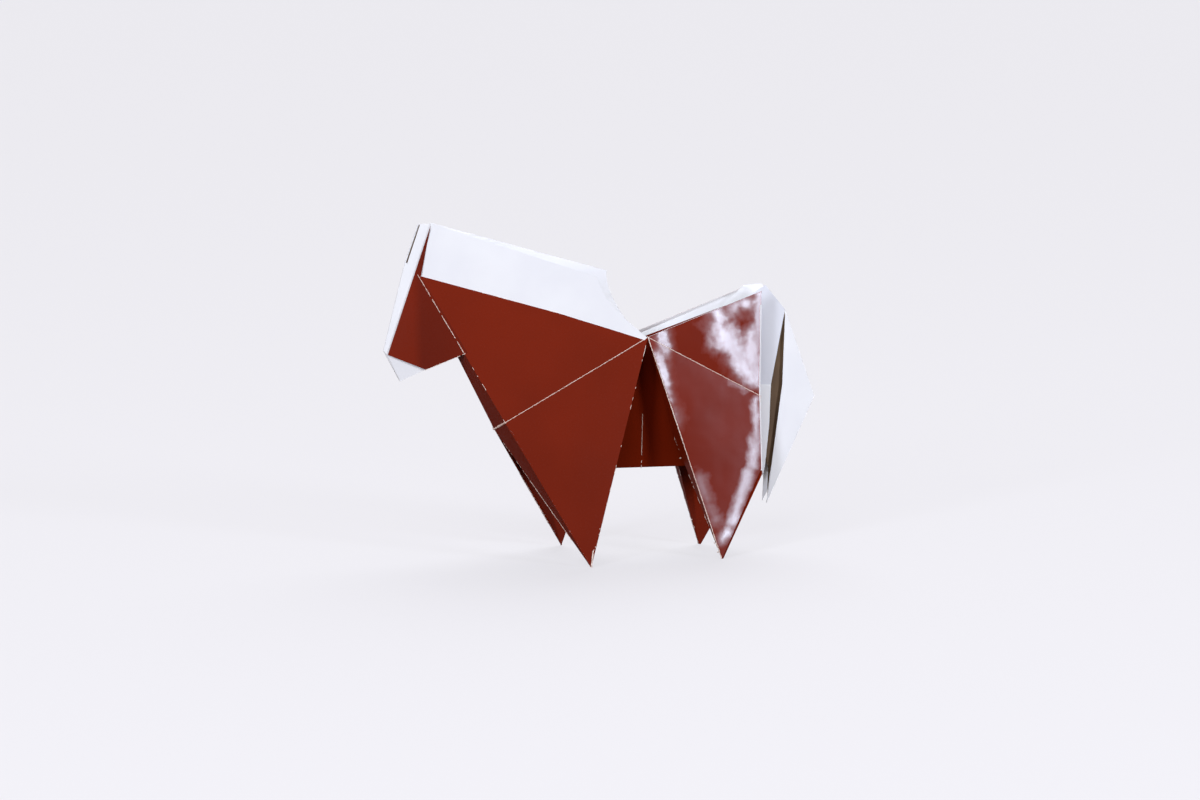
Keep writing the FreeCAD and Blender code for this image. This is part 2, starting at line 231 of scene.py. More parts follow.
def inner_points(flat):
    """A triangular grid inside the outline, kept clear of its edges."""
    low_x = min(p.x for p in flat)
    low_y = min(p.y for p in flat)
    columns = int((max(p.x for p in flat) - low_x) / STEP) + 1
    rows = int((max(p.y for p in flat) - low_y) / (STEP * ROW_SHARE)) + 1
    result = []
    for row in range(rows):
        for column in range(columns):
            x = low_x + (column + 0.5 * (row % 2)) * STEP
            point = Vector((x, low_y + row * STEP * ROW_SHARE))
            if is_inside(point, flat) and min(edge_distances(point, flat)) > EDGE_CLEARANCE:
                result.append(point)
    return result


def edge_fade(distances, width):
    """0 at a panel's edges, and close to 1 a few widths away from them. Both are in mm."""
    share = 1.0
    for distance in distances:
        share *= 1 - math.exp(-distance / width)
    return share


def add_panel(mesh, points, inside, puff=0.0, width=3.0, dent=0.0):
    """Adds one panel to a bmesh. It stands out of its plane by puff and waves by dent, in mm."""
    origin, along, across, normal = panel_axes(points, inside)
    flat = [Vector(((p - origin).dot(along), (p - origin).dot(across))) for p in points]
    border = outline_points(flat)
    edges = [(number, (number + 1) % len(border)) for number in range(len(border))]
    filled, _, faces, *_ = delaunay_2d_cdt(border + inner_points(flat), edges, [], 1, 1e-7)
    verts = []
    for spot in filled:
        distances = [d / MM for d in edge_distances(spot, flat)]
        place = origin + along * spot.x + across * spot.y
        fade = edge_fade(distances, width)
        height = puff * fade + dent * fade * noise.noise(place / DENT_SPACING)
        verts.append(mesh.verts.new(place + normal * height * MM))
    for face in faces:
        made = mesh.faces.new([verts[index] for index in face])
        made.normal_update()
        if made.normal.dot(normal) < 0:
            made.normal_flip()
        made.smooth = True


print("panels are filled at a step of %.2f mm" % (STEP / MM))

# %% [markdown]
# ## One square, a few layers
#
# Followed with a finger, the folded sheet is a handful of continuous layers: the skin of the
# front with the chest, the belly trough, a rear leg with its rump, the head, the mane and the
# tail. Each layer is a list of panels. Panels that share a fold are welded along it, and only
# then is the layer given the thickness of paper. A thickness per panel would leave a gap at
# every fold. Solidify also gives the outside, the inside and the cut edge a material each, as
# printed paper has.

# %% Layer builder
PAPER = 0.14 * MM
WELD = 0.004 * MM
THICKNESS_CLAMP = 1.5


def layer(name, panels, materials):
    """A closed sheet object from its panels. Its materials are for outside, inside and edge."""
    mesh = bmesh.new()
    for panel in panels:
        add_panel(mesh, **panel)
    bmesh.ops.remove_doubles(mesh, verts=mesh.verts, dist=WELD)
    data = bpy.data.meshes.new(name)
    mesh.to_mesh(data)
    mesh.free()
    sheet = bpy.data.objects.new(name, data)
    bpy.context.scene.collection.objects.link(sheet)
    for material in materials:
        data.materials.append(material)
    thickness = sheet.modifiers.new("paper", "SOLIDIFY")
    thickness.thickness = PAPER
    thickness.offset = -1
    thickness.use_even_offset = True
    thickness.thickness_clamp = THICKNESS_CLAMP
    thickness.material_offset = 1
    thickness.material_offset_rim = 2
    return sheet


def panel(names, side, inside, shift=None, **bow):
    """A panel's points by fold name on one side, with how it bows."""
    offset = Vector(shift or (0, 0, 0)) * MM
    offset.y *= side
    points = [fold(name, side) + offset for name in names]
    centre = Vector((inside[0], side * inside[1], inside[2])) * MM
    return {"points": points, "inside": centre, **bow}


# %% [markdown]
# ## Colour, and nodes without clutter
#
# Colours are written as sRGB hex values, the way they are read off a swatch, and turned to
# linear light by one function. Materials are node trees, and one small function adds a node with
# its settings and its links in a single call, so that a tree reads as a list of what the surface
# is made of.

# %% Colour and node helpers
def paint(hex_code):
    """Linear RGBA from an sRGB hex colour."""
    channels = [int(hex_code[i:i + 2], 16) / 255 for i in (0, 2, 4)]
    linear = [c / 12.92 if c <= 0.04045 else ((c + 0.055) / 1.055) ** 2.4 for c in channels]
    return (*linear, 1.0)


def add_node(tree, kind, settings=None, **inputs):
    """Adds a node. Inputs are set by name: a socket links, anything else is its value."""
    node = tree.nodes.new(kind)
    for key, value in (settings or {}).items():
        setattr(node, key, value)
    for key, value in inputs.items():
        by_number = key[1:].isdigit()
        socket = node.inputs[int(key[1:]) if by_number else key.replace("_", " ")]
        if isinstance(value, bpy.types.NodeSocket):
            tree.links.new(value, socket)
        else:
            socket.default_value = value
    return node


def blank_material(name):
    """A new material with its tree emptied."""
    material = bpy.data.materials.new(name)
    material.use_nodes = True
    material.node_tree.nodes.clear()
    return material, material.node_tree


def noise_at(tree, grain_mm, detail=2.0, roughness=0.5):
    """Noise over the object whose grains are about this many millimetres across."""
    place = add_node(tree, "ShaderNodeTexCoord").outputs["Object"]
    cloud = add_node(tree, "ShaderNodeTexNoise", Vector=place, Scale=1 / (grain_mm * MM),
                     Detail=detail, Roughness=roughness)
    return cloud.outputs["Fac"]


def remap(tree, value, low, high, to_low, to_high):
    """A value moved from one range to another, and kept in it."""
    node = add_node(tree, "ShaderNodeMapRange", i0=value, i1=low, i2=high, i3=to_low, i4=to_high)
    return node.outputs["Result"]


def filled(tree, value, low=0.35, high=0.65):
    """A noise value stretched to fill 0 to 1."""
    return remap(tree, value, low, high, 0.0, 1.0)


def blend(tree, factor, first, second):
    """Two colours mixed by a factor."""
    node = add_node(tree, "ShaderNodeMix", {"data_type": "RGBA"}, i0=factor, i6=first, i7=second)
    return node.outputs[2]


# %% [markdown]
# ## The printed face: gloss-coated paper
#
# Craft paper is printed with an even brick red and sealed with a thin clear coating. The colour
# is flat, with only a trace of mottle from the press. The gloss is what the eye reads. A flat
# panel mirrors the dim part of the room and stays dark. Where the paper has sprung back from its
# folds it leans, by up to seventeen degrees over most of the flap and by about thirty beside its
# front fold, and there a window shows in it as a soft smear with a frayed edge.
#
# Such a bend could be modelled in the mesh, but it would move the outline of the flap. Here only
# the shading normal leans, along a few listed strokes, and the mesh stays as it was
# folded. A wide, shallow cockle and a fine tooth bend the gloss a little more.

# %% Red face
MOTTLE_MM, CLOUD_MM, COCKLE_MM, TOOTH_MM, FRAY_MM = 0.9, 16.0, 5.0, 0.5, 2.6
INK_EVEN, INK_SPECK, INK_PAINTED_SHADE = ("701D07", "761F08"), "621504", "4A0F04"
SPECK_SHARE = 0.10
# Painted shade: below this height the ink darkens towards the floor, by this share at the bottom.
SHADE_FADE_HEIGHT, BOTTOM_SHADE_SHARE = 55 * MM, 0.22
PAINTED_HIGHLIGHT_SPECULAR, SPRUNG_SMOOTHER = 1.0, -0.08
COCKLE_STRENGTH = 0.6
TOOTH_STRENGTH, TOOTH_DEPTH = 0.12, 0.02 * MM
FRAY_REACH = 0.45


def stroke_mask(tree, place, fray, start, end, radius, softness):
    """1 along a stroke between two points and 0 away from it, with a soft and frayed border.

    The points are x and z in mm, radius and softness are in mm, and y plays no part."""
    first = Vector((start[0], 0, start[1])) * MM
    reach = Vector((end[0], 0, end[1])) * MM - first
    past = add_node(tree, "ShaderNodeVectorMath", {"operation": "SUBTRACT"}, i0=place, i1=first)
    along = add_node(tree, "ShaderNodeVectorMath", {"operation": "DOT_PRODUCT"},
                     i0=past.outputs[0], i1=reach)
    share = add_node(tree, "ShaderNodeMath", {"operation": "MULTIPLY", "use_clamp": True},
                     i0=along.outputs["Value"], i1=1 / reach.length_squared)
    foot = add_node(tree, "ShaderNodeVectorMath", {"operation": "SCALE"}, i0=reach,
                    Scale=share.outputs[0])
    apart = add_node(tree, "ShaderNodeVectorMath", {"operation": "DISTANCE"},
                     i0=past.outputs[0], i1=foot.outputs[0])
    frayed = add_node(tree, "ShaderNodeMath", {"operation": "MULTIPLY_ADD"}, i0=fray,
                      i1=softness * MM, i2=apart.outputs["Value"])
    outer, inner = (radius + softness) * MM, (radius - softness) * MM
    return remap(tree, frayed.outputs[0], outer, inner, 0.0, 1.0)


def leaning_normal(tree, axes, strokes):
    """The surface normal, leaned along each stroke, and a mask of all the strokes together."""
    place = add_node(tree, "ShaderNodeCombineXYZ", X=axes.outputs["X"], Z=axes.outputs["Z"])
    fray = remap(tree, noise_at(tree, FRAY_MM, detail=3.0), 0.3, 0.7, -FRAY_REACH, FRAY_REACH)
    lean, seen = (0.0, 0.0, 0.0), 0.0
    for start, end, radius, softness, (lean_x, lean_z) in strokes:
        mask = stroke_mask(tree, place.outputs[0], fray, start, end, radius, softness)
        slope = (math.tan(math.radians(lean_x)), 0.0, math.tan(math.radians(lean_z)))
        mixed = add_node(tree, "ShaderNodeMix", {"data_type": "VECTOR"}, i0=mask, i4=lean, i5=slope)
        most = add_node(tree, "ShaderNodeMath", {"operation": "MAXIMUM"}, i0=seen, i1=mask)
        lean, seen = mixed.outputs[1], most.outputs[0]
    own = add_node(tree, "ShaderNodeNewGeometry").outputs["Normal"]
    turned = add_node(tree, "ShaderNodeVectorMath", {"operation": "ADD"}, i0=own, i1=lean)
    unit = add_node(tree, "ShaderNodeVectorMath", {"operation": "NORMALIZE"}, i0=turned.outputs[0])
    return unit.outputs[0], seen


def coated_red(name, gloss_range, specular, ior=1.45, strokes=(), cockle_mm=0.10, painted_shade_span=None,
               sheen="FFFFFF"):
    """Red coated paper. strokes is a table like SPRUNG. The shade span, if given, says where shade
    is painted on the ink: from one x in mm to another, and by which share."""
    material, tree = blank_material(name)
    cloud = noise_at(tree, CLOUD_MM)
    mottle = noise_at(tree, MOTTLE_MM, detail=4.0)
    even = blend(tree, filled(tree, cloud), paint(INK_EVEN[0]), paint(INK_EVEN[1]))
    speck = remap(tree, mottle, 0.3, 0.75, 0.0, SPECK_SHARE)
    ink = blend(tree, speck, even, paint(INK_SPECK))
    place = add_node(tree, "ShaderNodeTexCoord").outputs["Object"]
    axes = add_node(tree, "ShaderNodeSeparateXYZ", Vector=place)
    # Painted shade: the ink darkens towards the bottom of the horse.
    bottom_shade = remap(tree, axes.outputs["Z"], 0.0, SHADE_FADE_HEIGHT, BOTTOM_SHADE_SHARE, 0.0)
    ink = blend(tree, bottom_shade, ink, paint(INK_PAINTED_SHADE))
    # Painted shade: between two x positions the ink darkens by a share.
    if painted_shade_span:
        start_x, end_x, share = painted_shade_span
        dark = remap(tree, axes.outputs["X"], start_x * MM, end_x * MM, 0.0, share)
        ink = blend(tree, dark, ink, paint(INK_PAINTED_SHADE))
    gloss = remap(tree, mottle, 0.25, 0.75, *gloss_range)
    facing, level = {}, specular
    if strokes:
        facing["Normal"], seen = leaning_normal(tree, axes, strokes)
        # Painted highlight: along the strokes the reflection is made stronger.
        level = remap(tree, seen, 0.0, 1.0, specular, PAINTED_HIGHLIGHT_SPECULAR)
        gloss = add_node(tree, "ShaderNodeMath", {"operation": "MULTIPLY_ADD"}, i0=seen,
                         i1=SPRUNG_SMOOTHER, i2=gloss).outputs[0]
    cockle = noise_at(tree, COCKLE_MM, detail=1.0)
    waves = add_node(tree, "ShaderNodeBump", Strength=COCKLE_STRENGTH, Distance=cockle_mm * MM,
                     Height=cockle, **facing)
    tooth = noise_at(tree, TOOTH_MM, detail=2.0)
    grain = add_node(tree, "ShaderNodeBump", Strength=TOOTH_STRENGTH, Distance=TOOTH_DEPTH,
                     Height=tooth, Normal=waves.outputs["Normal"])
    surface = add_node(tree, "ShaderNodeBsdfPrincipled", Base_Color=ink, Roughness=gloss, IOR=ior,
                       Specular_IOR_Level=level, Normal=grain.outputs["Normal"])
    surface.inputs["Specular Tint"].default_value = paint(sheen)
    add_node(tree, "ShaderNodeOutputMaterial", Surface=surface.outputs["BSDF"])
    return material


# Where the rear flap has sprung: a stroke's two ends (x, z) and radius, the softness of its border,
# and how many degrees the paper leans there, towards the tail (+) and upwards (+).
SPRUNG = (
    ((12.0, 52.0), (13.0, 46.9), 2.0, 1.5, (-29, 11)),
    ((11.5, 46.4), (13.3, 39.5), 1.9, 1.6, (-32, 7)),
    ((13.3, 39.5), (15.8, 31.0), 0.9, 1.9, (-28, 6)),
    ((29.4, 56.6), (33.0, 57.4), 2.2, 2.6, (9, 6)),
    ((25.0, 56.2), (26.6, 49.0), 2.6, 2.6, (12, 9)),
    ((27.4, 49.6), (32.0, 41.5), 2.6, 2.2, (13, 11)),
    ((33.4, 50.0), (33.8, 40.0), 2.0, 1.6, (13, 11)),
    ((35.1, 59.0), (34.8, 48.0), 0.9, 0.8, (13, 11)),
    ((34.3, 35.0), (34.2, 26.0), 0.6, 1.0, (9, 4)),
    ((33.9, 26.0), (33.2, 21.0), 0.9, 1.2, (9, 4)),
    ((32.0, 18.6), (28.2, 8.2), 1.1, 1.1, (9, 4)),
    ((25.4, 4.4), (26.8, 5.8), 1.0, 1.0, (8, 4)),
    ((20.3, 18.3), (24.0, 8.5), 0.4, 2.2, (6, 3)),
)
# The even gloss of a flat panel, which stays dark and saturated.
RED = coated_red("gloss_coated_paper_brick_red", (0.22, 0.30), 0.12)
# The sprung rear flap: a duller gloss in which the windows show as pale, cool smears. Along the
# strokes its reflection is also made stronger, and a cool specular tint colours it, so the smears
# are partly painted highlight.
RED_BENT = coated_red("gloss_coated_paper_sprung_back", (0.36, 0.42), 0.12, ior=1.66,
                      strokes=SPRUNG, cockle_mm=0.25, sheen="DDEAF4")
# The cheek: its hind half is darker, painted shade where it tucks in behind the front flap.
RED_CHEEK_SHADED = coated_red("gloss_coated_paper_painted_shade", (0.24, 0.32), 0.12,
                       painted_shade_span=(-43.2, -41.2, 0.45))
# Turned-in strips and the belly: scuffed by the layers that slide over them, with no gloss.
RED_DULL = coated_red("scuffed_coated_paper_brick_red", (0.45, 0.55), 0.01)
print("made", RED.name, RED_BENT.name, RED_CHEEK_SHADED.name, "and", RED_DULL.name)

# %% [markdown]
# ## The plain face and the torn edge: uncoated paper
#
# The back of the sheet is uncoated wood-pulp paper, a cool white with a dull, slightly fibrous
# surface and no highlight to speak of. The same pulp shows where the coating has cracked off a
# fold, a little warmer there because its fibres have taken up red dust from the print. Two more
# kinds are painted shade: a dark brown for openings that should look deep, and a greyer white
# for the tail's front, which lies in the rump's shade. One function makes all four, because only
# their colours and the height of their fibres differ.

# %% White face and paper core
FIBRE_MM = 0.45
SHEET_CLOUD_MM = 11.0
PAPER_ROUGHNESS, PAPER_SPECULAR = 0.7, 0.25


def uncoated(name, light, dark, fibre_bump):
    """Uncoated paper between two colours, with fibres that stand up by fibre_bump in mm."""
    material, tree = blank_material(name)
    cloud = noise_at(tree, SHEET_CLOUD_MM)
    fibre = noise_at(tree, FIBRE_MM, detail=5.0, roughness=0.65)
    pulp = blend(tree, filled(tree, cloud), paint(light), paint(dark))
    bump = add_node(tree, "ShaderNodeBump", Strength=0.5, Distance=fibre_bump * MM, Height=fibre)
    surface = add_node(tree, "ShaderNodeBsdfPrincipled", Base_Color=pulp, IOR=1.45,
                       Roughness=PAPER_ROUGHNESS, Specular_IOR_Level=PAPER_SPECULAR,
                       Normal=bump.outputs["Normal"])
    add_node(tree, "ShaderNodeOutputMaterial", Surface=surface.outputs["BSDF"])
    return material


# The back of the sheet, clean and matt.
WHITE = uncoated("uncoated_paper_white", "F1F2F5", "ECEDF1", 0.02)
# Loose pulp along a cracked fold: warm and rough, so that it breaks up the line.
CORE = uncoated("paper_core_worn_fibre", "EBD9CE", "DDBFB2", 0.05)
# Painted shade inside the tail and the slit of the face: a dull brown for a deep, dark opening.
BROWN_PAINTED_SHADE = uncoated("uncoated_paper_painted_shade_brown", "705A44", "5E4A38", 0.02)
# Painted shade on the tail's front, which lies in the rump's shade: a greyer white than the rest.
GREY_PAINTED_SHADE = uncoated("uncoated_paper_painted_shade_grey", "E2E4EC", "DCDEE7", 0.02)
print("made", WHITE.name, CORE.name, BROWN_PAINTED_SHADE.name, "and", GREY_PAINTED_SHADE.name)

# %% [markdown]
# ## Front legs and chest
#
# The front flap is half a square: its right angle lies in the middle of the back, one short side
# runs up to the neck and the other down to the foot. A crease runs from the back to the breast.
# The chest crosses between the two flaps on strips that lie in their shadow and have no gloss,
# so they are a layer of their own. A second layer lines the flaps, red on its inner side, and
# shows when the horse is seen from the front or below.

# %% Front
LINING_GAP = 0.05
LAYER_SHIFT = PAPER / MM + LINING_GAP
FRONT_HEART = (-6, 0, 28)
SHIN_SHIFT = (LAYER_SHIFT, 0, LAYER_SHIFT / 2)
FLAP_BOW = {"puff": 0.22, "width": 5.0, "dent": 0.25}


def front_panels():
    """The panels of the two front flaps, and of the strips that cross between them."""
    flaps, strips = [], []
    for side in (-1, 1):
        for names in (("neck", "throat", "back"), ("throat", "breast", "back")):
            flaps.append(panel(names, side, FRONT_HEART, puff=0.05, width=4.0))
        flaps.append(panel(("breast", "front_foot", "back"), side, FRONT_HEART, **FLAP_BOW))
        strips.append(panel(("throat", "breast", "chest", "chest_top"), side, FRONT_HEART))
        strips.append(panel(("breast", "front_foot", "chest"), side, FRONT_HEART, puff=0.1))
    return flaps, strips


def lining_panels(side, corners, heart, depth=LAYER_SHIFT):
    """The panels of an inner layer, depth mm behind the skin."""
    return [panel(names, side, heart, shift=(0, -depth, 0)) for names in corners]


flaps, strips = front_panels()
pieces = [
    layer("front_skin", flaps, (RED, WHITE, RED)),
    layer("chest", strips, (RED_DULL, WHITE, RED_DULL)),
]
FRONT_LINING = (("neck", "breast", "back"), ("breast", "front_foot", "back"))
for side, word in ((-1, "near"), (1, "far")):
    lining = lining_panels(side, FRONT_LINING, FRONT_HEART)
    pieces.append(layer(word + "_front_lining", lining, (WHITE, RED, RED_DULL)))
    shin = panel(("breast", "front_foot", "chest"), side, FRONT_HEART, shift=SHIN_SHIFT)
    pieces.append(layer(word + "_shin_lining", [shin], (WHITE, RED, RED_DULL)))
print(len(pieces), "layers so far")

# %% [markdown]
# ## Belly
#
# Between the legs the sheet hangs as a trough with a straight keel, red below and white above.
# It is one layer from side to side. Its upper edges are tucked in behind the flaps: by the room
# that two layers take, and by about 3 mm at the middle of the back.

# %% Belly
BELLY_INSET, BELLY_DROP = 2 * LAYER_SHIFT, 0.25
BACK_INSET, BACK_DROP = 3.2, 0.1
BELLY_FACETS = (
    ("neck", "chest", "back"),
    ("chest", "keel_front", "back"),
    ("keel_front", "keel", "back"),
    ("keel", "keel_rear", "back"),
    ("keel_rear", "rump", "back"),
)
TROUGH = (9, 0, 62)


def belly_corner(name, side):
    """A fold point, set in behind the flaps unless it lies on the keel."""
    point = fold(name, side)
    inset, drop = (BACK_INSET, BACK_DROP) if name == "back" else (BELLY_INSET, BELLY_DROP)
    on_keel = abs(point.y) < 0.01 * MM
    return point if on_keel else point + Vector((0, -side * inset, -drop)) * MM


def belly_panels():
    result = []
    for side in (-1, 1):
        for names in BELLY_FACETS:
            made = panel(names, side, TROUGH, puff=-0.12, width=4.0)
            made["points"] = [belly_corner(name, side) for name in names]
            result.append(made)
    return result


pieces.append(layer("belly_trough", belly_panels(), (RED_DULL, WHITE, RED_DULL)))

# %% [markdown]
# ## Rear legs and rump
#
# The rear flap has been folded more often than the front one and has sprung back, so it is the
# one panel that is clearly not flat, and that is where the gloss shows. Its front strip turns in
# under the belly, and its rear folds turn in to the root of the tail. The inner layer of the leg
# has slipped down, so its edge shows at the hock and along the shin. The skin ends a little
# higher there. The corners made for this lie in the plane of the flap, so the layers stay
# parallel.

# %% Rear
REAR_HEART = (26, 0, 42)
BEHIND_RETURN = (29, 6.5, 38)
REAR_FACETS = (("back", "rump", "rump_crease"), ("back", "rump_crease", "skin_hock", "rear_foot"))
RETURNS = (
    ("rump_low", "rump_crease", "root_crease", "return_top"),
    ("rump_crease", "hock", "root_low", "root_crease"),
)
REAR_BOW = {"puff": 0.5, "width": 5.0, "dent": 0.3}
TUCK_BOW = {"puff": 0.1, "width": 3.0}
UPPER_LINING = (("back", "rump", "rump_crease"),)
LOWER_LINING = (("back", "rump_crease", "slipped_hock", "slipped_foot", "rear_foot"),)
SLIP = 0.9
RUMP_CUT = 0.13
SLIPPED_DEPTH = 1.6 * LAYER_SHIFT


def on_rear_flap(x, z):
    """The point of the lower rear flap's plane at this x and z."""
    corner = fold("back")
    across = (fold("rear_foot") - corner).cross(fold("hock") - corner)
    y = corner.y - (across.x * (x - corner.x) + across.z * (z - corner.z)) / across.y
    return Vector((x, y, z))


FOLDS["rump_low"] = fold("rump").lerp(fold("rump_crease"), RUMP_CUT)
hock, foot = fold("hock"), fold("rear_foot")
FOLDS["skin_hock"] = on_rear_flap(hock.x, hock.z + SLIP * MM)
FOLDS["slipped_hock"] = on_rear_flap(hock.x, hock.z - SLIP * MM)
FOLDS["slipped_foot"] = on_rear_flap(foot.x + SLIP / 2 * MM, foot.z)

for side, word in ((-1, "near"), (1, "far")):
    skin = [panel(names, side, REAR_HEART, **REAR_BOW) for names in REAR_FACETS]
    pieces.append(layer(word + "_rear_skin", skin, (RED_BENT, WHITE, RED)))
    strip = panel(("back", "rear_foot", "shin_inner"), side, REAR_HEART, **TUCK_BOW)
    pieces.append(layer(word + "_rear_strip", [strip], (RED_DULL, WHITE, RED_DULL)))
    turned_in = [panel(names, side, BEHIND_RETURN, **TUCK_BOW) for names in RETURNS]
    pieces.append(layer(word + "_returns", turned_in, (RED_DULL, WHITE, WHITE)))
    lining = lining_panels(side, UPPER_LINING, REAR_HEART)
    pieces.append(layer(word + "_rump_lining", lining, (WHITE, WHITE, WHITE)))
    lining = lining_panels(side, LOWER_LINING, REAR_HEART, SLIPPED_DEPTH)
    pieces.append(layer(word + "_rear_leg_lining", lining, (RED_DULL, RED, RED_DULL)))

# %% [markdown]
# ## Head
#
# The head is the neck corner turned inside out between the front flaps. Outside are the two red
# cheeks. Inside lies the white back of the sheet, folded round the forehead: it shows as a
# narrow strip down the face, slit at the top, and as the blunt nose.
#
# The corners of the white lining do not lie in one plane, so it is built of triangles, each
# corner a little under the cheek. At the forehead it stands further forward than in the CAD
# model. On the near side its edge is cut back, and a strip of painted shade in the middle shows
# as the slit.

# %% Head
HEAD_HEART = (-36, 0, 58)
CHEEK = ("poll", "nose", "chin", "jaw", "nape")
LINER_DEPTH = {
    "poll": 0.22, "nose": 0.25, "chin": 0.45, "nape": 0.35, "nose_tip": 1.30,
    "blaze_poll": 0.06, "blaze_slit": 0.08, "blaze_nose": 0.12,
}
LINER_FACETS = (
    ("poll", "slit_top", "slit_end"), ("poll", "slit_end", "blaze_nose"),
    ("slit_end", "blaze_slit", "blaze_nose"), ("poll", "blaze_nose", "nose"),
    ("nose", "blaze_nose", "nose_tip"), ("nose", "nose_tip", "chin"),
    ("poll", "nose", "nape"), ("nose", "chin", "nape"),
)
BLAZE_FORWARD = {"blaze_poll": (-1.1, 0, -0.05), "blaze_slit": (-1.15, 0, 0.6)}
SLIT_TOP_SHARE, SLIT_END_SHARE = 0.18, 0.13
SLIT = (("blaze_poll", 0.30), ("blaze_slit", 0.25), ("blaze_slit", 1.4), ("blaze_poll", 1.4))
SLIT_DROP = 0.2

for name, step in BLAZE_FORWARD.items():
    FOLDS[name] = fold(name) + Vector(step) * MM

for side, word in ((-1, "near"), (1, "far")):
    cheek = [panel(CHEEK, side, HEAD_HEART, puff=0.2, width=4.0, dent=0.15)]
    pieces.append(layer(word + "_cheek", cheek, (RED_CHEEK_SHADED, WHITE, RED_CHEEK_SHADED)))


def liner_corners(side):
    """The corners of the white lining on one side, each a little under the cheek."""
    corners = {name: fold(name, side) - Vector((0, side * depth, 0)) * MM
               for name, depth in LINER_DEPTH.items()}
    corners["slit_top"], corners["slit_end"] = corners["blaze_poll"], corners["blaze_slit"]
    return corners


near, far = liner_corners(-1), liner_corners(1)
near["slit_top"] = near["blaze_poll"].lerp(near["poll"], SLIT_TOP_SHARE)
near["slit_end"] = near["blaze_slit"].lerp(near["nape"], SLIT_END_SHARE)
liner = []
for side, corners in ((-1, near), (1, far)):
    across = Vector((0, side * 10, 0)) * MM
    for names in LINER_FACETS:
        points = [corners[name] for name in names]
        if points[0] != points[1]:
            liner.append({"points": points, "inside": sum(points, Vector()) / 3 - across})
for upper, lower in (("blaze_slit", "blaze_nose"), ("blaze_nose", "nose_tip")):
    ring = [near[upper], near[lower], far[lower], far[upper]]
    liner.append({"points": ring, "inside": Vector(HEAD_HEART) * MM})
pieces.append(layer("forehead_and_nose", liner, (WHITE, WHITE, WHITE)))
# A brown strip of painted shade between the two liners shows as the slit.
slit = [Vector((fold(name).x + inset * MM, 0, fold(name).z - SLIT_DROP * MM))
        for name, inset in SLIT]
shade = {"points": slit, "inside": Vector(HEAD_HEART) * MM + Vector((0, 0.01, 0))}
pieces.append(layer("forehead_slit", [shade], (BROWN_PAINTED_SHADE, BROWN_PAINTED_SHADE, BROWN_PAINTED_SHADE)))

# %% [markdown]
# ## Mane
#
# The raw corners of the square stand up behind the red flaps as two white panels, side by side.
# Each ends in a soft concave curve above the middle of the back. The near one ends earlier than
# the far one, so their curves differ a little.

# %% Mane
MANE_END_X = {-1: (-2.03, 63.60), 1: (2.37, 64.05)}
MANE_HOLLOW = Vector((-0.9, 0, -1.2)) * MM
MANE_HOLLOW_SHARE = 0.35
MANE_TOP_STEP = Vector((0.45, 0, 0)) * MM
MANE_HEART = Vector((-16, 0, 60)) * MM
MANE_BOW = {"puff": 0.3, "width": 6.0, "dent": 0.4}
CURVE_POINTS = 7


def curve_through(start, middle, end):
    """Points on the quadratic curve from start through middle to end, ends left out."""
    control = middle * 2 - (start + end) / 2
    result = []
    for number in range(1, CURVE_POINTS):
        t = number / CURVE_POINTS
        result.append(start * (1 - t) ** 2 + control * 2 * t * (1 - t) + end * t ** 2)
    return result


def mane_panel(side):
    """One side of the mane, from its low front corner round to its rear end."""
    front, end = fold("mane_front", side), fold("mane_end", side)
    end_x, end_z = MANE_END_X[side]

    def stand(x, z):
        """The point of the mane's plane at this x and z."""
        along = (x - front.x) / (end.x - front.x)
        return Vector((x, front.y + (end.y - front.y) * along, z))

    top_end = stand(end_x * MM, end_z * MM)
    hollow = top_end.lerp(end, MANE_HOLLOW_SHARE) + MANE_HOLLOW
    hollow = stand(hollow.x, hollow.z)
    top = fold("mane_top", side) + MANE_TOP_STEP
    points = [fold("mane_low", side), front, top, top_end]
    points += curve_through(top_end, hollow, end)
    points += [end, fold("mane_end_low", side)]
    return {"points": points, "inside": MANE_HEART, **MANE_BOW}


for side, word in ((-1, "near"), (1, "far")):
    pieces.append(layer(word + "_mane", [mane_panel(side)], (WHITE, WHITE, WHITE)))

# %% [markdown]
# ## Tail
#
# The tail is a white kite folded in two along its hind edge. On the near side its raw edges
# don't meet: they leave a slit that is widest in the middle, and a layer of painted shade inside
# shows dark through it. A turned-in strip lies across the lower half. The outlines are set in
# the middle plane, and the tail narrows evenly from its root to its hind corner.

# %% Tail
ROOT_X, REACH_X = 29.27, 49.57
ROOT_HALF, EDGE_HALF = 3.0, 0.15
TAIL_FAR = (
    (29.27, 56.00), (33.60, 60.30), (37.47, 60.67), (42.37, 54.87), (49.57, 34.87), (37.97, 10.90),
    (38.25, 17.00), (36.60, 18.80), (29.27, 23.80),
)
TAIL_FRONT_TOP = (
    (29.27, 56.00), (37.47, 60.67), (42.22, 55.05), (42.12, 54.20), (38.95, 38.00), (29.27, 38.60),
)
TAIL_FRONT_LOW = (
    (29.27, 38.60), (38.95, 38.00), (38.50, 28.00), (36.95, 17.60), (36.77, 18.40), (29.27, 23.80),
)
TAIL_HIND = ((42.37, 54.87), (49.57, 34.87), (37.97, 10.90), (38.10, 11.60), (41.75, 38.00))
TAIL_TUCK = (
    (33.27, 38.50), (38.85, 37.70), (38.55, 29.00), (37.55, 19.60), (37.10, 17.00), (36.77, 18.40),
    (33.27, 20.80),
)
TAIL_INNER = (
    (33.0, 56.0), (42.4, 54.6), (44.0, 38.0), (39.2, 18.5), (38.4, 13.0), (38.7, 18.5),
    (37.7, 22.4), (33.0, 26.0),
)
TAIL_HEART = Vector((34, 0, 38)) * MM


def tail_panel(outline, side, proud=0.0, **bow):
    """A panel of the tail from its outline in the middle plane, proud mm further out."""
    points = []
    for x, z in outline:
        half = ROOT_HALF * (REACH_X - x) / (REACH_X - ROOT_X) + EDGE_HALF + proud
        points.append(Vector((x, side * half, z)) * MM)
    return {"points": points, "inside": TAIL_HEART, **bow}


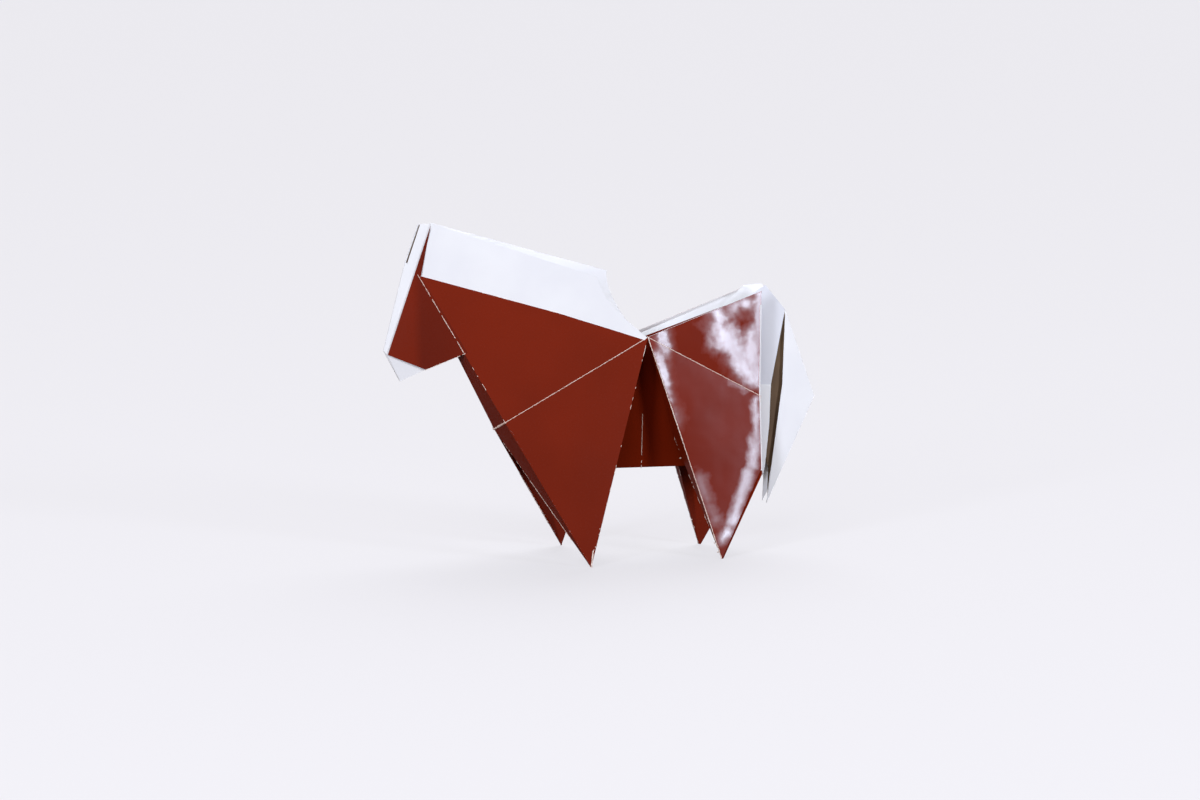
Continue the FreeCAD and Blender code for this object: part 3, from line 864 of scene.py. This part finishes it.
FRONT_BOW = {"puff": 0.1, "dent": 0.2}
TAIL_LAYERS = (
    ("tail", (WHITE, WHITE, WHITE), (
        tail_panel(TAIL_FRONT_LOW, -1, **FRONT_BOW),
        tail_panel(TAIL_HIND, -1, puff=0.25, width=2.5, dent=0.3),
        tail_panel(TAIL_FAR, 1, puff=0.25, width=4.0, dent=0.4),
    )),
    # The tail's front is white in painted shade, greyer than the rest.
    ("tail_front", (GREY_PAINTED_SHADE, WHITE, GREY_PAINTED_SHADE), (tail_panel(TAIL_FRONT_TOP, -1, **FRONT_BOW),)),
    # A brown layer of painted shade inside the tail shows dark through the slit.
    ("tail_inner", (BROWN_PAINTED_SHADE, BROWN_PAINTED_SHADE, BROWN_PAINTED_SHADE), (tail_panel(TAIL_INNER, -1, proud=-0.9),)),
    ("tail_tuck", (WHITE, WHITE, WHITE), (tail_panel(TAIL_TUCK, -1, proud=0.15),)),
)
for name, materials, panels in TAIL_LAYERS:
    pieces.append(layer(name, panels, materials))
print(len(pieces), "layers in all")

# %% [markdown]
# ## The sheet as one piece
#
# The layers are one sheet of paper, so they become one mesh. The modifiers are applied by taking
# each object's evaluated mesh. The foot tips are worn flat on the floor, so a point that would
# lie outside the CAD model's box is brought to its side.

# %% Join the layers
FOLD_ANGLE = math.radians(9)


def plain_mesh(thing):
    """The object's final mesh, with its modifiers applied."""
    graph = bpy.context.evaluated_depsgraph_get()
    return bpy.data.meshes.new_from_object(thing.evaluated_get(graph))


def boxed_object(name, whole, materials):
    """An object from a bmesh, with every point brought inside the CAD box."""
    for vert in whole.verts:
        for axis in range(3):
            vert.co[axis] = min(cad_high[axis], max(cad_low[axis], vert.co[axis]))
    data = bpy.data.meshes.new(name)
    whole.to_mesh(data)
    whole.free()
    for material in materials:
        data.materials.append(material)
    thing = bpy.data.objects.new(name, data)
    bpy.context.scene.collection.objects.link(thing)
    return thing


def join_layers(name, layers):
    """One object from all the layers. Each face keeps its material."""
    whole = bmesh.new()
    slots = []
    for sheet in layers:
        data = plain_mesh(sheet)
        first = len(whole.faces)
        whole.from_mesh(data)
        whole.faces.ensure_lookup_table()
        places = []
        for material in data.materials:
            if material not in slots:
                slots.append(material)
            places.append(slots.index(material))
        for face in whole.faces[first:]:
            face.material_index = places[face.material_index]
        bpy.data.objects.remove(sheet)
    thing = boxed_object(name, whole, slots)
    thing.data.set_sharp_from_angle(angle=FOLD_ANGLE)
    return thing


sheet = join_layers("folded_sheet", pieces)
print("folded_sheet:", sum(len(p.vertices) - 2 for p in sheet.data.polygons), "triangles")

# %% [markdown]
# ## Worn folds
#
# A gloss coating can't stretch, so it cracks along a sharp fold, and the white fibres under it
# fluff up in a broken line. Drawn in the material, the line would vanish at a silhouette. Here
# it is real: many small tufts of paper fibre sit along each fold. Geometry Nodes suit that,
# because the same rule runs along every fold: walk along it in even steps, leave out the
# stretches where the coating held, and set down a tuft that lies along the fold. The same tree,
# told to scatter more, makes the loose chips beside the folds.

# %% A node tree that wears a fold
HELD_PATCH = 2.4 * MM
THINNEST, THICKEST = 0.55, 1.3


def worn_fold_tree():
    tree = bpy.data.node_groups.new("worn_fold", "GeometryNodeTree")
    face = tree.interface
    face.new_socket("Geometry", in_out="INPUT", socket_type="NodeSocketGeometry")
    for name in ("Step", "Length", "Width", "Worn share", "Scatter"):
        face.new_socket(name, in_out="INPUT", socket_type="NodeSocketFloat")
    face.new_socket("Seed", in_out="INPUT", socket_type="NodeSocketInt")
    face.new_socket("Fibre", in_out="INPUT", socket_type="NodeSocketMaterial")
    face.new_socket("Geometry", in_out="OUTPUT", socket_type="NodeSocketGeometry")
    given = tree.nodes.new("NodeGroupInput").outputs

    steps = add_node(tree, "GeometryNodeResampleCurve", {"mode": "LENGTH"},
                     Curve=given["Geometry"], Length=given["Step"])
    walk = add_node(tree, "GeometryNodeCurveToPoints", {"mode": "EVALUATED"},
                    Curve=steps.outputs["Curve"])
    place = add_node(tree, "GeometryNodeInputPosition").outputs["Position"]
    held = add_node(tree, "ShaderNodeTexNoise", {"noise_dimensions": "4D"}, Vector=place,
                    W=given["Seed"], Scale=1 / HELD_PATCH, Detail=5.0, Roughness=0.75)
    level = filled(tree, held.outputs["Fac"], 0.3, 0.7)
    worn = add_node(tree, "ShaderNodeMath", {"operation": "LESS_THAN"}, i0=level,
                    i1=given["Worn share"])

    spread = add_node(tree, "ShaderNodeVectorMath", {"operation": "SCALE"}, i0=(1.0, 1.0, 1.0),
                      Scale=given["Scatter"])
    back = add_node(tree, "ShaderNodeVectorMath", {"operation": "SCALE"}, i0=spread.outputs[0],
                    Scale=-1.0)
    shift = add_node(tree, "FunctionNodeRandomValue", {"data_type": "FLOAT_VECTOR"},
                     i0=back.outputs[0], i1=spread.outputs[0], Seed=given["Seed"])
    moved = add_node(tree, "GeometryNodeSetPosition", Geometry=walk.outputs["Points"],
                     Offset=shift.outputs[0])

    tuft = add_node(tree, "GeometryNodeMeshUVSphere", Segments=6, Rings=4, Radius=0.5)
    uneven = add_node(tree, "FunctionNodeRandomValue", {"data_type": "FLOAT"}, i2=THINNEST,
                      i3=THICKEST, Seed=given["Seed"])
    wide = add_node(tree, "ShaderNodeMath", {"operation": "MULTIPLY"}, i0=given["Width"],
                    i1=uneven.outputs[1])
    shape = add_node(tree, "ShaderNodeCombineXYZ", X=wide.outputs[0], Y=wide.outputs[0],
                     Z=given["Length"])
    tufts = add_node(tree, "GeometryNodeInstanceOnPoints", Points=moved.outputs["Geometry"],
                     Selection=worn.outputs[0], Instance=tuft.outputs["Mesh"],
                     Rotation=walk.outputs["Rotation"], Scale=shape.outputs[0])
    real = add_node(tree, "GeometryNodeRealizeInstances", Geometry=tufts.outputs["Instances"])
    finish = add_node(tree, "GeometryNodeSetMaterial", Geometry=real.outputs["Geometry"],
                      Material=given["Fibre"])
    made = tree.nodes.new("NodeGroupOutput")
    tree.links.new(finish.outputs["Geometry"], made.inputs["Geometry"])
    return tree


WORN_FOLD = worn_fold_tree()
SOCKET = {item.name: item.identifier for item in WORN_FOLD.interface.items_tree
          if item.in_out == "INPUT"}
print("worn_fold tree:", len(WORN_FOLD.nodes), "nodes")

# %% Which folds are worn, and how much
# Each row: the fold's two ends, the width of the worn line in mm and the share of it that is worn.
# Folds that were pressed hardest, at the breast and down the front of each leg, are worn most, and
# the short breast fold and the tip of the front foot all along. The far side is worn less.
def between(start, end, share):
    """A point on the way from one fold point to another."""
    return fold(start).lerp(fold(end), share)


FOLDS["belly_middle"] = fold("keel").lerp(fold("back") + Vector((0, BACK_INSET, 0)) * MM, 0.40)
FOLDS["shin_middle"] = between("chest", "front_foot", 0.38)
FOLDS["shin_low"] = between("chest", "front_foot", 0.80)
FOLDS["front_heel"] = between("front_foot", "back", 0.07) + Vector((-0.5, -0.08, 0)) * MM
FOLDS["front_ankle"] = between("front_foot", "back", 0.24)
FOLDS["jaw_end"] = between("chin", "jaw", 0.93)
WORN = (
    ("breast", "back", 0.19, 0.78),
    ("neck", "throat", 0.17, 0.62),
    ("throat", "breast", 0.13, 0.40),
    ("breast", "chest", 0.50, 1.00),
    ("chest", "shin_middle", 0.10, 0.45),
    ("shin_middle", "shin_low", 0.20, 0.85),
    ("shin_low", "front_foot", 0.12, 0.45),
    ("breast", "front_foot", 0.06, 0.12),
    ("back", "front_foot", 0.12, 0.42),
    ("front_heel", "front_foot", 0.42, 1.00),
    ("neck", "back", 0.09, 0.30),
    ("back", "rump_crease", 0.20, 0.80),
    ("back", "rear_foot", 0.24, 0.92),
    ("rump", "rump_crease", 0.09, 0.22),
    ("rump_crease", "hock", 0.09, 0.25),
    ("shin_inner", "rear_foot", 0.16, 0.40),
    ("chin", "jaw_end", 0.14, 0.75),
    ("keel", "belly_middle", 0.20, 0.55),
)
CHIPPED = (
    ("back", "front_foot", 0.16, 0.16),
    ("front_ankle", "front_heel", 0.24, 0.45),
    ("shin_middle", "front_foot", 0.20, 0.22),
    ("back", "rear_foot", 0.18, 0.22),
    ("shin_inner", "rear_foot", 0.38, 0.42),
    ("breast", "back", 0.12, 0.12),
)
FAR_SHARE = 0.8
TUFT = {"Step": 0.30 * MM, "Length": 0.55 * MM, "Scatter": 0.03 * MM}
CHIP = {"Step": 0.9 * MM, "Length": 0.35 * MM, "Scatter": 0.35 * MM}


def fold_curve(start, end):
    """A straight curve along one fold, as its own object."""
    curve = bpy.data.curves.new("fold", "CURVE")
    curve.dimensions = "3D"
    line = curve.splines.new("POLY")
    line.points.add(1)
    for point, place in zip(line.points, (start, end)):
        point.co = (*place, 1.0)
    thing = bpy.data.objects.new("fold", curve)
    bpy.context.scene.collection.objects.link(thing)
    return thing


def wear(start, end, settings):
    """The tufts along one fold, as a plain mesh."""
    thing = fold_curve(start, end)
    modifier = thing.modifiers.new("wear", "NODES")
    modifier.node_group = WORN_FOLD
    for name, value in settings.items():
        modifier[SOCKET[name]] = value
    data = plain_mesh(thing)
    bpy.data.objects.remove(thing)
    return data


def wear_all(name, rows, common):
    """One piece that holds the tufts of every row, on both sides."""
    whole = bmesh.new()
    for number, (start, end, width, share) in enumerate(rows):
        for side in (-1, 1):
            share_here = share * (FAR_SHARE if side > 0 else 1.0)
            settings = {**common, "Width": width * MM, "Worn share": share_here,
                        "Seed": 2 * number + (side > 0), "Fibre": CORE}
            whole.from_mesh(wear(fold(start, side), fold(end, side), settings))
    for face in whole.faces:
        face.material_index = 0
    thing = boxed_object(name, whole, [CORE])
    thing.data.polygons.foreach_set("use_smooth", [True] * len(thing.data.polygons))
    return thing


worn_folds = wear_all("worn_folds", WORN, TUFT)
coating_chips = wear_all("coating_chips", CHIPPED, CHIP)
for thing in (worn_folds, coating_chips):
    print(thing.name, len(thing.data.polygons), "faces")

# %% [markdown]
# ## Floor and light
#
# A plain pale floor and soft light from above show the paper's own colours. Floor and room look
# pale to the camera and in reflections, but they throw back less light than they show, so the
# belly and the inside of the legs stay dark, as they do over a table. Two tall soft panels stand
# to the left and right like windows, and the sprung rear flap catches them in smears. A second,
# wider sun lights the far side, so that the horse looks well from there too.

# %% Floor
scene = bpy.context.scene
scene.view_settings.view_transform = "Standard"
FLOOR_SIZE = 16.0
FLOOR_SHOWN, FLOOR_THROWN = "78777A", "4E3F33"
FLOOR_GLOW, FLOOR_GLOW_STRENGTH = "F2F1F6", 0.715
FLOOR_ROUGHNESS = 0.9


def shown_rays(tree):
    """1 for the rays that show the room: straight to the camera, in a gloss or through glass."""
    rays = add_node(tree, "ShaderNodeLightPath")
    shown = add_node(tree, "ShaderNodeMath", {"operation": "ADD"},
                     i0=rays.outputs["Is Camera Ray"], i1=rays.outputs["Is Glossy Ray"])
    shown = add_node(tree, "ShaderNodeMath", {"operation": "ADD", "use_clamp": True},
                     i0=shown.outputs[0], i1=rays.outputs["Is Transmission Ray"])
    return shown.outputs[0]


floor_mesh = bmesh.new()
bmesh.ops.create_grid(floor_mesh, x_segments=1, y_segments=1, size=FLOOR_SIZE / 2)
floor_data = bpy.data.meshes.new("floor")
floor_mesh.to_mesh(floor_data)
floor_mesh.free()
floor = bpy.data.objects.new("floor", floor_data)
scene.collection.objects.link(floor)
matte, matte_tree = blank_material("studio_floor_pale_grey")
shown = shown_rays(matte_tree)
floor_colour = blend(matte_tree, shown, paint(FLOOR_THROWN), paint(FLOOR_SHOWN))
glow = add_node(matte_tree, "ShaderNodeMath", {"operation": "MULTIPLY"}, i0=shown,
                i1=FLOOR_GLOW_STRENGTH)
matte_surface = add_node(matte_tree, "ShaderNodeBsdfPrincipled", Base_Color=floor_colour,
                         Roughness=FLOOR_ROUGHNESS, Emission_Color=paint(FLOOR_GLOW),
                         Emission_Strength=glow.outputs[0])
matte_surface.inputs["Specular IOR Level"].default_value = 0.0
add_node(matte_tree, "ShaderNodeOutputMaterial", Surface=matte_surface.outputs["BSDF"])
floor_data.materials.append(matte)
print("floor: %.0f m square" % FLOOR_SIZE)

# %% Lamps and world
WORLD_COLOUR, WORLD_LIGHT, WORLD_SHOWN = "EBEAEF", 0.26, 1.0
WINDOW_COLOUR = "F0F4FF"
# Each row: name, place, energy and the angle it seems to have, in degrees.
SUNS = (
    ("soft_key", (-0.55, -1.2, 1.35), 0.90, 30),
    ("back_fill", (0.5, 1.0, 1.2), 2.8, 60),
)
# Each row: name, place, width and height, energy.
WINDOWS = (
    ("left_window", (-0.760, -0.760, 0.31), (0.16, 0.50), 5.8),
    ("right_window", (0.689, -0.821, 0.28), (0.18, 0.46), 7.0),
)
world = bpy.data.worlds.new("studio")
scene.world = world
world.use_nodes = True
sky_tree = world.node_tree
sky_tree.nodes.clear()
strength = remap(sky_tree, shown_rays(sky_tree), 0.0, 1.0, WORLD_LIGHT, WORLD_SHOWN)
sky = add_node(sky_tree, "ShaderNodeBackground", Color=paint(WORLD_COLOUR), Strength=strength)
add_node(sky_tree, "ShaderNodeOutputWorld", Surface=sky.outputs["Background"])


def add_lamp(name, kind, place, energy):
    """A lamp that faces the horse."""
    lamp = bpy.data.lights.new(name, kind)
    lamp.energy = energy
    thing = bpy.data.objects.new(name, lamp)
    thing.location = place
    thing.rotation_euler = (aim - Vector(place)).to_track_quat("-Z", "Y").to_euler()
    scene.collection.objects.link(thing)
    return lamp


for name, place, energy, angle in SUNS:
    add_lamp(name, "SUN", place, energy).angle = math.radians(angle)
for name, place, size, energy in WINDOWS:
    window = add_lamp(name, "AREA", place, energy)
    window.shape = "RECTANGLE"
    window.size, window.size_y = size
    window.color = paint(WINDOW_COLOUR)[:3]
print("lit by", ", ".join(row[0] for row in SUNS + WINDOWS))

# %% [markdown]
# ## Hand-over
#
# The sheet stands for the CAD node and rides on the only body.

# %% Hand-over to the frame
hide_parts(NODE)
for piece in (sheet, worn_folds, coating_chips):
    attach(piece, "root")
